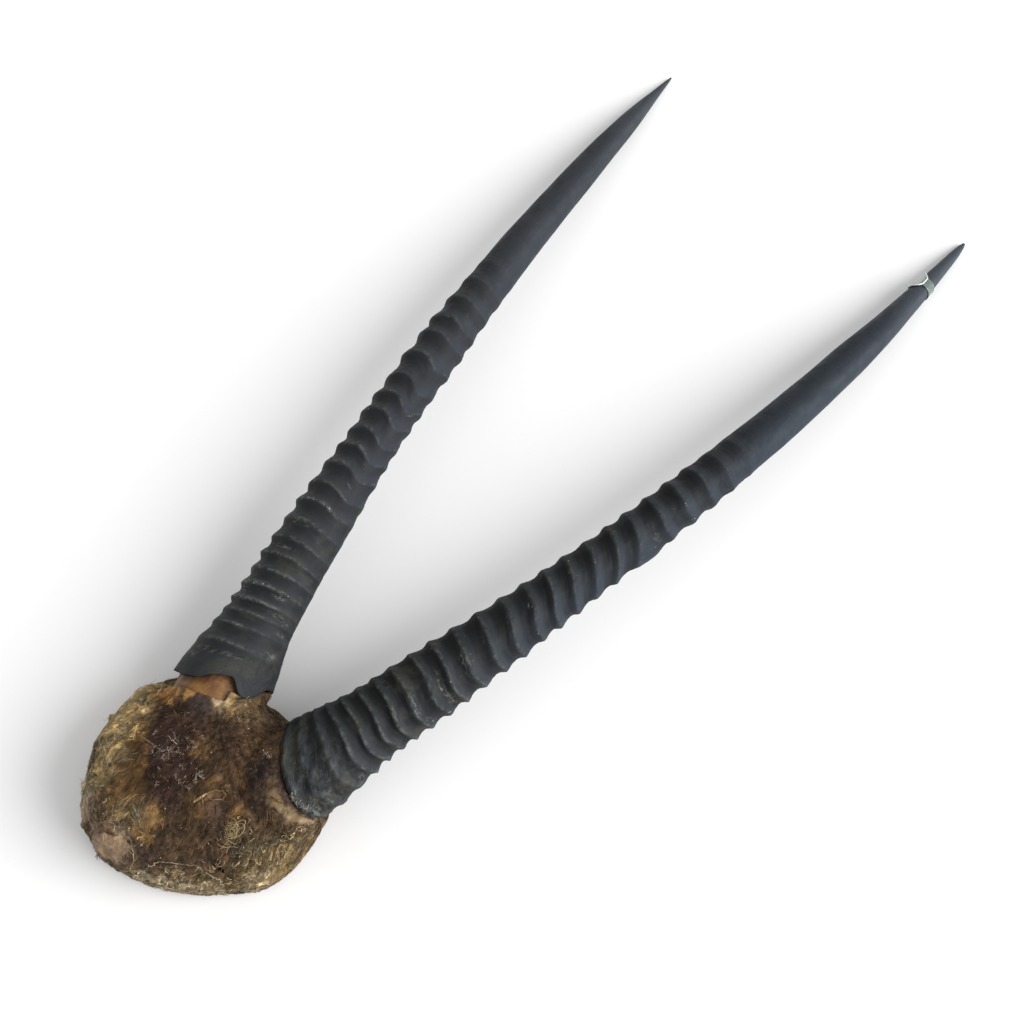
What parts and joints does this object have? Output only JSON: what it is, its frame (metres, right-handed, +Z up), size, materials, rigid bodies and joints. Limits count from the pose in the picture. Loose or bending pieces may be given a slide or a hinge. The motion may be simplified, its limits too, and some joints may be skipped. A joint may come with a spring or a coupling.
{
  "type": "antelope horns on skull cap",
  "caption": "Pair of long, ringed, dark antelope horns on the cut cap of the skull, with dried hide and matted hair.",
  "frame": {"origin": "on the table, under the middle of the whole object's box", "axes": "+Y from the skull cap towards the horn tips, +Z up from the cap's sawn underside, +X towards the horn that carries the tie"},
  "size_m": [0.3719, 0.9593, 0.0867],
  "materials": {
    "skull_cap": "smooth dry bone",
    "scalp": "dried hide with matted hair",
    "horn_left": "matte, ringed",
    "horn_right": "matte, ringed",
    "tag_tie": "clear, satin"
  },
  "bodies": {
    "root": {"skull_cap": "skull_cap", "scalp": "scalp", "horn_left": "horn_left", "horn_right": "horn_right", "tag_tie": "tag_tie"}
  },
  "joints": []
}
